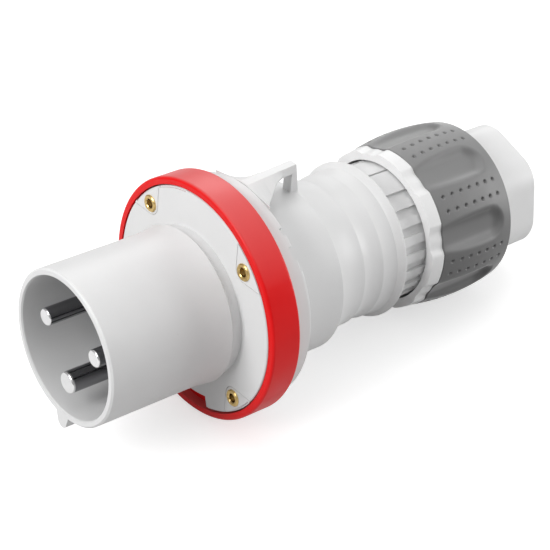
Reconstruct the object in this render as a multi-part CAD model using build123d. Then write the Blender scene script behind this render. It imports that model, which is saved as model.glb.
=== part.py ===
from build123d import *
import math
import os

# Industrial pin and sleeve plug, 63 A, two poles and earth, straight, watertight.
# Millimetres. The plug's axis is X: the mouth of the shroud is the plane x = 0 and the cable leaves
# at the far end, towards +X. +Z is up, on the side of the lug, and the key is on the side of -Z.
# Angles about the axis are measured from +Y towards +Z.

# Clearances
RUNNING = 0.1          # between a turning piece and what centres it
SLACK = 0.3            # between moving faces that only pass each other
SEAT = 0.05            # between pieces that are slid together and stay still

# Shroud, the sleeve round the pins
SHROUD_R = 35.5        # every other radius but the pins' follows from this one
SHROUD_WALL = 3.15
SHROUD_LENGTH = 67.7   # mouth to the face of the flange
MOUTH_DEPTH = 56.0     # mouth to the face that carries the pins
RIM_ROUND = 0.8
BASE_RISE = 1.15       # thicker root of the shroud, which swells slowly to this height
BASE_FLARE = 13.6
ROOT_DEPTH = 0.5       # groove between the thick root and the flange
ROOT_LENGTH = 4.4
KEY_WIDTH = 8.4
KEY_HEIGHT = 5.9
KEY_TIP_ROUND = 3.2
KEY_ANGLE = -90.0

# Flange and the drum behind it, on which the ring turns
FLANGE_THICKNESS = 4.6
FLANGE_EDGE = 0.4
FLANGE_RISE = 8.4      # drum to the flange's edge
DRUM_RIM = 1.4         # gasket to the drum's edge
EDGE_STEP_WIDTH = 0.8
EDGE_STEP_DEPTH = 0.8
EDGE_STEP_ANGLES = [(34.0, 80.0), (214.0, 252.5)]
NOTCH_DEPTH = 6.1
NOTCH_HALF_ANGLE = 17.5
NOTCH_ANGLE = -90.0

# Four corner blocks with brass inserts, and the screws that reach them from behind
CORNER_ANGLES = [45.0, 135.0, 225.0, 315.0]
INSERT_INSET = 5.73    # flange's edge to the insert's axis
BLOCK_MARGIN = 5.0     # insert axis to the edge of its block
BLOCK_DEPTH = 3.2
BLOCK_GAP = 0.25
BOSS_R = 4.6
INSERT_HEAD_R = 4.0
INSERT_HEAD_HEIGHT = 0.85
INSERT_BODY_R = 3.2
INSERT_LENGTH = 8.0
INSERT_THREAD_R = 2.1
INSERT_MOUTH = 0.4
SCREW_HEAD_R = 4.2
SCREW_HEAD_HEIGHT = 3.0
SCREW_HEAD_EDGE = 1.0
SCREW_SLOT = 1.1
POCKET_R = 5.2
POCKET_DEPTH = 4.0
POCKET_WALL = 1.2      # round the screw's column in the collar

# Locking ring
RING_GAP = 0.75        # flange's edge to the ring's bore
RING_WALL = 3.35
RING_LENGTH = 15.25
RING_ROUND = 1.3
CLAW_THICKNESS = 4.1
CLAW_ROOT = 1.0        # claw's reach into the ring's wall
RING_TURN_ANGLE = 33.0 # degrees from locked to open, half of it to each side of the pose shown
STOP_ANGLE = 0.4       # degrees left between a claw and the boss that stops it

# Contacts and the block that carries them
PIN_CIRCLE_R = 18.6
PHASE_PIN_R = 4.0
EARTH_PIN_R = 5.0
PHASE_RECESS = 2.5     # pin tips behind the mouth
EARTH_RECESS = 1.9
PHASE_PIN_ANGLE = 105.0    # degrees from the earth pin, to each side
PIN_TIP_ROUND = 0.9
PHASE_BARREL_R = 6.4
EARTH_BARREL_R = 7.4
SHOULDER_RISE = 1.2
SHOULDER_LENGTH = 4.0
PIN_ROOT_RISE = 0.4    # thicker part of a pin inside the carrier
BARREL_LENGTH = 25.0
BARREL_EDGE = 0.5
PHASE_WIRE_R = 3.8
EARTH_WIRE_R = 4.3
WIRE_DEPTH = 19.0
TERMINAL_SCREW_R = 2.3
TERMINAL_SCREW_HEAD_R = 3.2
TERMINAL_SCREW_TIP = 0.3   # tip to the wire's bore, with the screw backed out
TERMINAL_SCREW_HEAD = 2.4
TERMINAL_SCREW_SLOT = 0.9
TERMINAL_SCREW_PLACES = [8.0, 17.0]
CARRIER_FLANGE_RISE = 2.4   # shroud to the edge of the carrier's flange
CARRIER_FLANGE = 3.0
CARRIER_TAIL_DROP = 5.5     # shroud to the carrier's narrower tail
CARRIER_TAIL = 10.0
RETAINER_THICKNESS = 3.0
RETAINER_SCREW_R = 1.9
RETAINER_SCREW_HEAD_R = 3.4
RETAINER_SCREW_HEAD = 2.2
RETAINER_SCREW_EDGE = 0.6
RETAINER_SCREW_SLOT = 0.8
RETAINER_SCREW_LENGTH = 11.0
RETAINER_SCREW_CIRCLE_R = 22.0
RETAINER_SCREW_ANGLES = [90.0, 232.0, 308.0]
PIN_SEAL_THICKNESS = 2.0
PIN_SEAL_RISE = 2.2
PIN_SEAL_PLACE = 8.0
CARRIER_SEAL_SECTION = 1.05
CARRIER_SEAL_PLACE = 13.0

# Handle: one moulding, kept as collar, lug, scalloped body, ratchet neck and thread, which meet face to face
COLLAR_DROP = 0.1      # flange's edge to the collar's edge
COLLAR_LENGTH = 15.0
COLLAR_EDGE = 0.5
COLLAR_RIM = 2.7
COLLAR_CORE_FLOOR = 3.4
STEP_DROP = 1.0        # collar's edge to the raised part of its rear face
STEP_HEIGHT = 1.9
STEP_ANGLES = (144.0, 396.0)
STEP_CHAMFER = 1.2
SLIT_ANGLES = [(122.0, 126.0), (132.0, 139.0), (41.0, 48.0), (54.0, 58.0)]
SLIT_DEPTH = 2.0       # small slits in the collar's rear edge
GASKET_STEP = 2.1      # carrier's flange to the gasket
GASKET_WIDTH = 2.6
GASKET_THICKNESS = 2.0
GASKET_WALL = 2.0
BODY_RISE = 2.75       # carrier's flange to the body's surface
BODY_LENGTH = 29.6
BODY_EDGE = 0.45
HANDLE_WALL = 3.3
SHELL_DRAFT = 1.2      # more wall where the body is straight
BORE_STRAIGHT = 19.5   # from the collar's rear face to the taper inside the body
SCALLOP_LENGTHS = [17.4, 11.5]
SCALLOP_SAGS = [1.5, 0.9]      # chord to the floor of each scallop
RIDGE_RISES = [1.75, 1.65]     # neck to the sharp ridge behind each scallop
TROUGH_LENGTH = 8.0
TROUGH_SAG = 0.3
TROUGH_RISE = 2.2      # neck to the trough's end
LIP_RISE = 4.5         # neck to the lip's crest
LIP_LENGTH = 4.4
LIP_ROUND = 1.0
NECK_DROP = 7.15       # body to the neck
NECK_WALL = 5.5
NECK_EDGE = 0.8
RATCHET_LENGTH = 17.1
RATCHET_DEPTH = 1.5
RATCHET_PITCH_ANGLE = 15.0
RATCHET_START_ANGLE = 116.0    # where the first of the slots begins
RATCHET_SLOTS = 21
RATCHET_SLOT_ANGLE = 7.6
TOP_SLOT_ANGLES = (91.2, 93.2)
THREAD_LENGTH = 26.0
SHOULDER_WIDTH = 6.0   # inner shoulder of the neck, on which the cable seal sits
SHOULDER_THICKNESS = 3.0
SEAL_DEPTH = 18.0

# Lug on the handle, a bridge from the collar to a leg on the body
LUG_RISE = 2.1         # lug's top behind, above the collar's edge
LUG_TOP_HALF = 2.2     # half of the width of the ridge along its top
LUG_EDGE = 1.0         # thickness of the two side edges
LUG_PLACES = [0.0, 3.0, 6.0, 9.3, 13.0, 16.3, 20.0, 28.4]    # sections behind the collar's rear face
LUG_HALVES = [18.9, 15.0, 12.0, 9.3, 6.5, 4.5, 3.0, 2.7]     # half of the width at each section
LUG_DROPS = [3.5, 5.5, 6.2, 6.4, 4.2, 3.6, 3.8, 3.8]         # from the top to the flat underside
LUG_LEG = 2.5
LUG_LEG_FLARE = 2.0

# Gland: seal, cage, slip ring, nut and grip
GLAND_TRAVEL = 14.5
GLAND_STOP_GAP = 0.5
NUT_LIP_LENGTH = 6.6
NUT_RIDGE_RISE = 1.9   # nut's core to the ridges in front
NUT_LIP_FLARE = 0.8    # more at the rear of the lip
NUT_VALLEY_DROP = 1.4
VALLEY_HALF_ANGLE = 11.8       # degrees from a valley's middle to the lobe beside it
VALLEY_FLOOR_ANGLE = 6.5       # half of its flat floor
NUT_MOUTH_CLEARANCE = 1.1
NUT_MOUTH_LENGTH = 10.0
NUT_CORE_RISE = 3.5    # neck to the nut's core
GRIP_LENGTH = 44.3
GRIP_RISE = 5.0        # nut's core to the grip's widest place
GRIP_REAR_RISE = 3.4
GRIP_PEAK = 24.8       # grip's front edge to its widest place
GRIP_ROUND = 1.2
LOBES = 8
LOBE_ANGLE = 94.7
GROOVE_RISE = 1.5      # nut's core to the floor of a finger groove
GROOVE_FLOOR_HALF = 5.7
GROOVE_SIDE_HALF = 9.3
GROOVE_SIDE_RISE = 4.2
GROOVE_REACH = 12.0    # how far out the cutter goes
GROOVE_ROUND = 2.2
GROOVE_END = 30.3      # grip's front edge to the centre of a groove's round end
OUTLET_LENGTH = 27.3
OUTLET_RISE = 2.6      # nut's rear bore to each of the six flats
OUTLET_CORNER_R = 15.6
OUTLET_ANGLE = 79.5
OUTLET_ROUND = 1.4
OUTLET_STEP = 1.0      # neck's shoulder to the outlet's bore
OUTLET_MOUTH = 1.5
CAGE_FLANGE = 2.5
CAGE_FINGER_WALL = 3.6
CAGE_FINGER_LENGTH = 14.0
CAGE_FINGERS = 8
CAGE_SLOT = 2.4
CAGE_RIM = 0.6
CAGE_STEP = 1.0        # neck's shoulder to the cage's bore
CAGE_ROOM = 1.0        # cage's fingers to the nut's bore
SEAL_BORE = 13.0
SEAL_TAIL = 14.0
SEAL_EDGE = 1.0
SLIP_RING_THICKNESS = 3.0
SLIP_RING_STEP = 0.5   # outlet's bore to the slip ring's

# Stations along the axis, each from the lengths above
FLANGE_FRONT = SHROUD_LENGTH
FLANGE_BACK = FLANGE_FRONT + FLANGE_THICKNESS
CLAW_FRONT = FLANGE_BACK + SLACK
CLAW_BACK = CLAW_FRONT + CLAW_THICKNESS
COLLAR_FRONT = CLAW_BACK + SLACK
COLLAR_BACK = COLLAR_FRONT + COLLAR_LENGTH
BODY_END = COLLAR_BACK + BODY_LENGTH
RIDGES = [BODY_END + sum(SCALLOP_LENGTHS[:n + 1]) for n in range(len(SCALLOP_LENGTHS))]
TROUGH_END = RIDGES[-1] + TROUGH_LENGTH
LIP_END = TROUGH_END + LIP_LENGTH
RATCHET_END = LIP_END + RATCHET_LENGTH
NECK_END = RATCHET_END + THREAD_LENGTH
LEDGE = NECK_END - SEAL_DEPTH - SHOULDER_THICKNESS
NUT_FRONT = LIP_END + GLAND_TRAVEL + GLAND_STOP_GAP
GRIP_FRONT = NUT_FRONT + NUT_LIP_LENGTH
GRIP_BACK = GRIP_FRONT + GRIP_LENGTH
OUTLET_END = GRIP_BACK + OUTLET_LENGTH
CAGE_END = NECK_END + CAGE_FLANGE + CAGE_FINGER_LENGTH
SLIP_RING_FRONT = CAGE_END + GLAND_TRAVEL + SLACK
SLIP_RING_BACK = SLIP_RING_FRONT + SLIP_RING_THICKNESS
CARRIER_BACK = COLLAR_FRONT + CARRIER_FLANGE + CARRIER_TAIL

# Radii, each from the one inside it
SHROUD_BORE = SHROUD_R - SHROUD_WALL
CARRIER_FLANGE_R = SHROUD_R + CARRIER_FLANGE_RISE
CARRIER_TAIL_R = SHROUD_R - CARRIER_TAIL_DROP
GASKET_R = CARRIER_FLANGE_R + GASKET_STEP
GASKET_OUTER_R = GASKET_R + GASKET_WIDTH
DRUM_R = GASKET_OUTER_R + DRUM_RIM
FLANGE_R = DRUM_R + FLANGE_RISE
RING_BORE = FLANGE_R + RING_GAP
RING_R = RING_BORE + RING_WALL
INSERT_R = FLANGE_R - INSERT_INSET
INSERT_HALF = INSERT_R / math.sqrt(2)
COLLAR_R = FLANGE_R - COLLAR_DROP
STEP_R = COLLAR_R - STEP_DROP
LUG_TOP = COLLAR_R + LUG_RISE
BODY_R = CARRIER_FLANGE_R + BODY_RISE
BODY_BORE = BODY_R - HANDLE_WALL - SHELL_DRAFT
NECK_R = BODY_R - NECK_DROP
RIDGE_RADII = [NECK_R + rise for rise in RIDGE_RISES]
SCALLOP_BORE = RIDGE_RADII[-1] - SCALLOP_SAGS[-1] - HANDLE_WALL
NECK_BORE = NECK_R - NECK_WALL
SHOULDER_R = NECK_BORE - SHOULDER_WIDTH
CAGE_BORE = SHOULDER_R + CAGE_STEP
CAGE_FINGER_R = CAGE_BORE + CAGE_FINGER_WALL
NUT_THREAD_BORE = NECK_R + RUNNING
NUT_REAR_BORE = CAGE_FINGER_R + CAGE_ROOM
NUT_CORE_R = NECK_R + NUT_CORE_RISE
NUT_RIDGE_R = NUT_CORE_R + NUT_RIDGE_RISE
GRIP_FRONT_R = NUT_RIDGE_R + NUT_LIP_FLARE
OUTLET_BORE = SHOULDER_R - OUTLET_STEP
OUTLET_FLAT = NUT_REAR_BORE + OUTLET_RISE

PIN_NAMES = ["earth", "left", "right"]
UPWARD = (Align.CENTER, Align.CENTER, Align.MIN)


def section(x):
    """Plane across the axis at x, with +Y to the right and +Z up."""
    return Plane(origin=(x, 0, 0), x_dir=(0, 1, 0), z_dir=(1, 0, 0))


def polar(radius, angle):
    """Point on a section, from its radius and its angle in degrees."""
    return radius * math.cos(math.radians(angle)), radius * math.sin(math.radians(angle))


def lathe(*edges):
    """Solid turned about the axis from a closed outline of edges in (x, radius)."""
    outline = edges[0]
    for edge in edges[1:]:
        outline += edge
    return revolve(make_face(outline), Axis.X, 360)


def turned(*points):
    """Solid turned about the axis from a closed polygon in (x, radius)."""
    return lathe(Polyline(*points, close=True))


def tube(x0, x1, outer, inner):
    """Straight tube about the axis."""
    return extrude(section(x0) * (Circle(outer) - Circle(inner)), x1 - x0)


def rod(x0, x1, radius, place=(0, 0)):
    """Straight rod along X, centred at a place on the section."""
    return extrude(section(x0) * Pos(*place) * Circle(radius), x1 - x0)


def arc_face(inner, outer, start, end):
    """Piece of a ring on a section, between two angles less than 360 degrees apart."""
    middle = (start + end) / 2
    outline = ThreePointArc(polar(outer, start), polar(outer, middle), polar(outer, end))
    outline += Line(polar(outer, end), polar(inner, end))
    outline += ThreePointArc(polar(inner, end), polar(inner, middle), polar(inner, start))
    outline += Line(polar(inner, start), polar(outer, start))
    return make_face(outline)


def arc_block(x0, x1, inner, outer, start, end):
    """Solid piece of a ring between two angles."""
    return extrude(section(x0) * arc_face(inner, outer, start, end), x1 - x0)


def spin(shape, angle):
    """Shape turned about the axis, from angle 0 to the angle given."""
    return Rot(angle, 0, 0) * shape


def corner_place(angle):
    """Place of the insert on a section, for one of the four corners."""
    return polar(INSERT_R, angle)


def corner_face(gap, reach):
    """Outline of a corner block at 45 degrees, grown by a gap and cut off at a radius."""
    low = INSERT_HALF - BLOCK_MARGIN - gap
    corner = Pos(low + reach / 2, low + reach / 2) * Rectangle(reach, reach)
    apex = corner.vertices().sort_by(lambda v: v.X + v.Y)[0]
    return fillet(apex, BLOCK_MARGIN + gap) & Circle(reach)


def edge_steps():
    """Ring pieces that lower the flange's edge along two arcs."""
    inner = FLANGE_R - EDGE_STEP_WIDTH
    outer = FLANGE_R + EDGE_STEP_WIDTH
    back = FLANGE_FRONT + EDGE_STEP_DEPTH
    return [arc_block(FLANGE_FRONT - 1, back, inner, outer, *arc) for arc in EDGE_STEP_ANGLES]


def key_rib():
    """Key under the shroud, with a rounded tip, from the mouth to the thick root's end."""
    length = SHROUD_LENGTH - ROOT_LENGTH
    flank = SHROUD_R + KEY_HEIGHT - KEY_TIP_ROUND
    tip = Pos(flank, 0) * Circle(KEY_TIP_ROUND)
    foot = SHROUD_BORE + SHROUD_WALL / 2
    half = KEY_WIDTH / 2
    wedge = make_face(Polyline((foot, -half), (SHROUD_R, -half), (flank, -KEY_TIP_ROUND),
                               (flank, KEY_TIP_ROUND), (SHROUD_R, half), (foot, half), close=True))
    rib = extrude(section(0) * (tip + wedge), length)
    return spin(rib, KEY_ANGLE)


def shroud_housing():
    """Shroud with its key, thick root, flange and the drum behind the flange."""
    root_front = FLANGE_FRONT - ROOT_LENGTH
    base_back = root_front - BASE_RISE - ROOT_DEPTH
    base_front = base_back - BASE_FLARE
    base_r = SHROUD_R + BASE_RISE
    root_r = SHROUD_R - ROOT_DEPTH
    edge = FLANGE_EDGE
    body = lathe(
        Polyline((COLLAR_FRONT, 0), (RIM_ROUND, 0), (0, RIM_ROUND), (0, SHROUD_R - RIM_ROUND),
                 (RIM_ROUND, SHROUD_R), (base_front, SHROUD_R)),
        ThreePointArc((base_front, SHROUD_R), (base_front + BASE_FLARE / 2, SHROUD_R + BASE_RISE / 4),
                      (base_back, base_r)),
        Polyline((base_back, base_r), (root_front, root_r), (FLANGE_FRONT, root_r),
                 (FLANGE_FRONT, FLANGE_R - edge), (FLANGE_FRONT + edge, FLANGE_R), (FLANGE_BACK, FLANGE_R),
                 (FLANGE_BACK, DRUM_R), (COLLAR_FRONT, DRUM_R), (COLLAR_FRONT, 0)))
    body += key_rib()
    for angle in CORNER_ANGLES:
        body += rod(FLANGE_BACK - 1, COLLAR_FRONT, BOSS_R, corner_place(angle))
    body -= rod(-1, COLLAR_FRONT + 1, SHROUD_BORE)
    body -= cone_mouth()
    recess_back = FLANGE_FRONT + BLOCK_DEPTH
    recess = extrude(section(FLANGE_FRONT - 1) * corner_face(BLOCK_GAP, FLANGE_R + 2), 1 + BLOCK_DEPTH)
    insert_back = FLANGE_FRONT + INSERT_LENGTH
    for angle in CORNER_ANGLES:
        body -= spin(recess, angle - 45)
        body -= rod(recess_back - 1, insert_back, INSERT_BODY_R, corner_place(angle))
        body -= rod(insert_back - 1, COLLAR_FRONT + 1, INSERT_BODY_R, corner_place(angle))
    body -= arc_block(FLANGE_FRONT - 1, FLANGE_BACK, FLANGE_R - NOTCH_DEPTH, FLANGE_R + 2,
                      NOTCH_ANGLE - NOTCH_HALF_ANGLE, NOTCH_ANGLE + NOTCH_HALF_ANGLE)
    for step in edge_steps():
        body -= step
    return body


def cone_mouth():
    """Rounded lead-in at the inside of the shroud's rim."""
    return turned((-1, 0), (-1, SHROUD_BORE + RIM_ROUND), (0, SHROUD_BORE + RIM_ROUND / 2),
                  (RIM_ROUND, SHROUD_BORE), (RIM_ROUND, 0))


def clamp_blocks():
    """Four corner blocks that the screws pull into the flange's stepped recesses."""
    block = extrude(section(FLANGE_FRONT) * corner_face(0, FLANGE_R), BLOCK_DEPTH)
    block -= rod(FLANGE_FRONT - 1, FLANGE_BACK, INSERT_BODY_R, corner_place(45))
    blocks = [spin(block, angle - 45) for angle in CORNER_ANGLES]
    steps = edge_steps()
    return Compound(children=[(piece - steps[0] - steps[1]).solids()[0] for piece in blocks])


def brass_inserts():
    """Four threaded inserts, each with a round head that stands proud of its block."""
    front = FLANGE_FRONT - INSERT_HEAD_HEIGHT
    edge = INSERT_MOUTH
    back = FLANGE_FRONT + INSERT_LENGTH
    insert = turned(
        (front, INSERT_THREAD_R + edge), (front, INSERT_HEAD_R - edge), (front + edge, INSERT_HEAD_R),
        (FLANGE_FRONT, INSERT_HEAD_R), (FLANGE_FRONT, INSERT_BODY_R), (back, INSERT_BODY_R),
        (back, INSERT_THREAD_R), (front + edge, INSERT_THREAD_R))
    return Compound(children=[Pos(0, *corner_place(angle)) * insert for angle in CORNER_ANGLES])


def flange_screws():
    """Four screws from the pockets behind the collar into the brass inserts."""
    seat = COLLAR_BACK - POCKET_DEPTH
    tip = FLANGE_FRONT + INSERT_LENGTH / 4
    shank_r = INSERT_THREAD_R - SEAT
    head_back = seat + SCREW_HEAD_HEIGHT
    edge = SCREW_HEAD_EDGE
    screw = turned((tip, 0), (tip, shank_r - edge), (tip + edge, shank_r), (seat, shank_r),
                   (seat, SCREW_HEAD_R), (head_back - edge, SCREW_HEAD_R), (head_back, SCREW_HEAD_R - edge),
                   (head_back, 0))
    slot = Pos(head_back, 0, 0) * Box(2 * SCREW_SLOT, 3 * SCREW_HEAD_R, SCREW_SLOT)
    slot += Pos(head_back, 0, 0) * Box(2 * SCREW_SLOT, SCREW_SLOT, SCREW_HEAD_R * 1.2)
    screw -= slot
    return Compound(children=[Pos(0, *corner_place(angle)) * screw for angle in CORNER_ANGLES])


def locking_ring():
    """Ring that turns round the flange, with four claws behind it that ride on the drum."""
    front = FLANGE_FRONT
    back = front + RING_LENGTH
    rim = lathe(
        Line((front, RING_BORE), (front, RING_R - RING_ROUND)),
        ThreePointArc((front, RING_R - RING_ROUND), arc_middle(front, RING_R, RING_ROUND, 1),
                      (front + RING_ROUND, RING_R)),
        Line((front + RING_ROUND, RING_R), (back - RING_ROUND, RING_R)),
        ThreePointArc((back - RING_ROUND, RING_R), arc_middle(back, RING_R, RING_ROUND, -1),
                      (back, RING_R - RING_ROUND)),
        Line((back, RING_R - RING_ROUND), (back, RING_BORE)),
        Line((back, RING_BORE), (front, RING_BORE)))
    boss_half = math.degrees(math.asin((BOSS_R + SLACK) / INSERT_R)) + STOP_ANGLE
    half_gap = 180 / len(CORNER_ANGLES)
    claw_half = half_gap - boss_half - RING_TURN_ANGLE / 2
    for corner in CORNER_ANGLES:
        middle = corner + half_gap
        rim += arc_block(CLAW_FRONT, CLAW_BACK, DRUM_R + RUNNING, RING_BORE + CLAW_ROOT,
                         middle - claw_half, middle + claw_half)
    return rim


def arc_middle(x, radius, round_r, side):
    """Middle point of a quarter-round between a face at x and a cylinder."""
    inset = round_r * (1 - math.sqrt(0.5))
    return x + side * inset, radius - inset


def pin_place(name):
    """Place of a pin on the section."""
    turn = {"earth": 0, "left": PHASE_PIN_ANGLE, "right": -PHASE_PIN_ANGLE}[name]
    return polar(PIN_CIRCLE_R, KEY_ANGLE + turn)


def pin_sizes(name):
    """Radius, tip recess, barrel radius and wire bore of a pin."""
    if name == "earth":
        return EARTH_PIN_R, EARTH_RECESS, EARTH_BARREL_R, EARTH_WIRE_R
    return PHASE_PIN_R, PHASE_RECESS, PHASE_BARREL_R, PHASE_WIRE_R


def contact_pin(name):
    """Turned pin with a shoulder and a terminal barrel, drilled for the wire and two screws."""
    radius, tip, barrel, wire = pin_sizes(name)
    shoulder_back = CARRIER_BACK
    shoulder_front = shoulder_back - SHOULDER_LENGTH
    end = shoulder_back + BARREL_LENGTH
    shoulder = barrel + SHOULDER_RISE
    root = radius + PIN_ROOT_RISE
    pin = lathe(
        Line((tip, 0), (tip, radius - PIN_TIP_ROUND)),
        ThreePointArc((tip, radius - PIN_TIP_ROUND), arc_middle(tip, radius, PIN_TIP_ROUND, 1),
                      (tip + PIN_TIP_ROUND, radius)),
        Polyline((tip + PIN_TIP_ROUND, radius), (MOUTH_DEPTH, radius), (MOUTH_DEPTH, root),
                 (shoulder_front, root), (shoulder_front, shoulder), (shoulder_back, shoulder),
                 (shoulder_back, barrel), (end - BARREL_EDGE, barrel), (end, barrel - BARREL_EDGE),
                 (end, 0), (tip, 0)))
    pin -= rod(end - WIRE_DEPTH, end + 1, wire)
    place = pin_place(name)
    outward = math.degrees(math.atan2(place[1], place[0]))
    for distance in TERMINAL_SCREW_PLACES:
        hole = Cylinder(TERMINAL_SCREW_R, 2 * barrel, align=UPWARD)
        pin -= Pos(shoulder_back + distance, 0, 0) * Rot(outward - 90, 0, 0) * hole
    return Pos(0, *place) * pin


def terminal_screws(names):
    """Two screws for each terminal barrel, pointing away from the plug's axis."""
    screws = []
    slot = TERMINAL_SCREW_SLOT
    for name in names:
        place = pin_place(name)
        _, _, barrel, wire = pin_sizes(name)
        outward = math.degrees(math.atan2(place[1], place[0]))
        tip = wire + TERMINAL_SCREW_TIP
        top = barrel + TERMINAL_SCREW_HEAD
        for distance in TERMINAL_SCREW_PLACES:
            screw = Pos(0, 0, tip) * Cylinder(TERMINAL_SCREW_R - SEAT, top - tip, align=UPWARD)
            screw += Pos(0, 0, barrel + SEAT) * Cylinder(
                TERMINAL_SCREW_HEAD_R, TERMINAL_SCREW_HEAD - SEAT, align=UPWARD)
            screw -= Pos(0, 0, top) * Box(3 * TERMINAL_SCREW_HEAD_R, slot, 2 * slot)
            screws.append(Pos(CARRIER_BACK + distance, *place) * Rot(outward - 90, 0, 0) * screw)
    return Compound(children=screws)


def contact_carrier():
    """Insulating block at the bottom of the mouth, clamped by its flange behind the drum."""
    flange_back = COLLAR_FRONT + CARRIER_FLANGE
    body_r = SHROUD_BORE - SEAT
    body = turned((MOUTH_DEPTH, 0), (MOUTH_DEPTH, body_r), (COLLAR_FRONT, body_r),
                  (COLLAR_FRONT, CARRIER_FLANGE_R), (flange_back, CARRIER_FLANGE_R),
                  (flange_back, CARRIER_TAIL_R), (CARRIER_BACK, CARRIER_TAIL_R), (CARRIER_BACK, 0))
    seal_front = MOUTH_DEPTH + CARRIER_SEAL_PLACE - CARRIER_SEAL_SECTION
    seal_floor = SHROUD_BORE - 2 * CARRIER_SEAL_SECTION
    body -= tube(seal_front, seal_front + 2 * CARRIER_SEAL_SECTION, SHROUD_R, seal_floor)
    for name in PIN_NAMES:
        radius, _, barrel, _ = pin_sizes(name)
        place = pin_place(name)
        body -= rod(MOUTH_DEPTH - 1, CARRIER_BACK + 1, radius + PIN_ROOT_RISE + SEAT, place)
        body -= rod(CARRIER_BACK - SHOULDER_LENGTH, CARRIER_BACK + 1, barrel + SHOULDER_RISE + SEAT, place)
        front = MOUTH_DEPTH + PIN_SEAL_PLACE
        body -= rod(front, front + PIN_SEAL_THICKNESS, radius + PIN_SEAL_RISE, place)
    for angle in RETAINER_SCREW_ANGLES:
        front = CARRIER_BACK + RETAINER_THICKNESS - RETAINER_SCREW_LENGTH - 1
        body -= rod(front, CARRIER_BACK + 1, RETAINER_SCREW_R, polar(RETAINER_SCREW_CIRCLE_R, angle))
    return body


def pin_retainer():
    """Plate that holds the pins' shoulders in the carrier."""
    plate = rod(CARRIER_BACK, CARRIER_BACK + RETAINER_THICKNESS, CARRIER_TAIL_R)
    for name in PIN_NAMES:
        barrel = pin_sizes(name)[2]
        plate -= rod(CARRIER_BACK - 1, CARRIER_BACK + RETAINER_THICKNESS + 1, barrel + SEAT, pin_place(name))
    for angle in RETAINER_SCREW_ANGLES:
        plate -= rod(CARRIER_BACK - 1, CARRIER_BACK + RETAINER_THICKNESS + 1, RETAINER_SCREW_R,
                     polar(RETAINER_SCREW_CIRCLE_R, angle))
    return plate


def retainer_screws():
    """Three screws that hold the retainer to the carrier."""
    seat = CARRIER_BACK + RETAINER_THICKNESS
    top = seat + RETAINER_SCREW_HEAD
    edge = RETAINER_SCREW_EDGE
    shank_r = RETAINER_SCREW_R - SEAT
    screw = turned((seat - RETAINER_SCREW_LENGTH, 0), (seat - RETAINER_SCREW_LENGTH, shank_r),
                   (seat, shank_r), (seat, RETAINER_SCREW_HEAD_R), (top - edge, RETAINER_SCREW_HEAD_R),
                   (top, RETAINER_SCREW_HEAD_R - edge), (top, 0))
    screw -= Pos(top, 0, 0) * Box(2 * RETAINER_SCREW_SLOT, 3 * RETAINER_SCREW_HEAD_R, RETAINER_SCREW_SLOT)
    return Compound(children=[Pos(0, *polar(RETAINER_SCREW_CIRCLE_R, angle)) * screw
                              for angle in RETAINER_SCREW_ANGLES])


def pin_seals():
    """Rubber ring round each pin, inside the carrier."""
    front = MOUTH_DEPTH + PIN_SEAL_PLACE
    seals = []
    for name in PIN_NAMES:
        radius = pin_sizes(name)[0]
        seal = tube(front, front + PIN_SEAL_THICKNESS, radius + PIN_SEAL_RISE, radius + PIN_ROOT_RISE)
        seals.append(Pos(0, *pin_place(name)) * seal)
    return Compound(children=seals)


def carrier_seal():
    """Round-section rubber ring between the carrier and the shroud."""
    middle = SHROUD_BORE - CARRIER_SEAL_SECTION
    face = Pos(MOUTH_DEPTH + CARRIER_SEAL_PLACE, middle) * Circle(CARRIER_SEAL_SECTION)
    return revolve(face, Axis.X, 360)


def flange_gasket():
    """Flat rubber ring between the drum and the handle."""
    return tube(COLLAR_FRONT, COLLAR_FRONT + GASKET_THICKNESS, GASKET_OUTER_R, GASKET_R)


def sagging(start, end, sag):
    """Arc in (x, radius) whose middle lies below its chord by the sag."""
    middle = ((start[0] + end[0]) / 2, (start[1] + end[1]) / 2 - sag)
    return ThreePointArc(start, middle, end)


def handle_housing():
    """Body of the handle: straight in front, then two scallops with sharp ridges, a trough and a lip."""
    trough = (TROUGH_END, NECK_R + TROUGH_RISE)
    lip_r = NECK_R + LIP_RISE
    crest = (LIP_END - LIP_ROUND, lip_r)
    inset = LIP_ROUND * (1 - math.sqrt(0.5))
    place = (BODY_END, BODY_R - BODY_EDGE)
    edges = [Polyline((COLLAR_BACK, BODY_BORE), (COLLAR_BACK, BODY_R), (BODY_END - BODY_EDGE, BODY_R), place)]
    for ridge, sag in zip(zip(RIDGES, RIDGE_RADII), SCALLOP_SAGS):
        edges.append(sagging(place, ridge, sag))
        place = ridge
    edges.append(sagging(place, trough, TROUGH_SAG))
    edges.append(sagging(trough, crest, -LIP_ROUND / 3))
    edges.append(ThreePointArc(crest, (LIP_END - inset, lip_r - inset), (LIP_END, lip_r - LIP_ROUND)))
    edges.append(Polyline(
        (LIP_END, lip_r - LIP_ROUND), (LIP_END, NECK_BORE), (TROUGH_END, SCALLOP_BORE),
        (BODY_END, SCALLOP_BORE), (COLLAR_BACK + BORE_STRAIGHT, BODY_BORE), (COLLAR_BACK, BODY_BORE)))
    return lathe(*edges)


def handle_neck():
    """Front of the neck, with the ratchet slots."""
    neck = tube(LIP_END, LEDGE, NECK_R, NECK_BORE)
    starts = [RATCHET_START_ANGLE + n * RATCHET_PITCH_ANGLE for n in range(RATCHET_SLOTS)]
    spans = [(start, start + RATCHET_SLOT_ANGLE) for start in starts] + [TOP_SLOT_ANGLES]
    for span in spans:
        neck -= arc_block(LIP_END - 1, RATCHET_END, NECK_R - RATCHET_DEPTH, NECK_R + 1, *span)
    return neck


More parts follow.
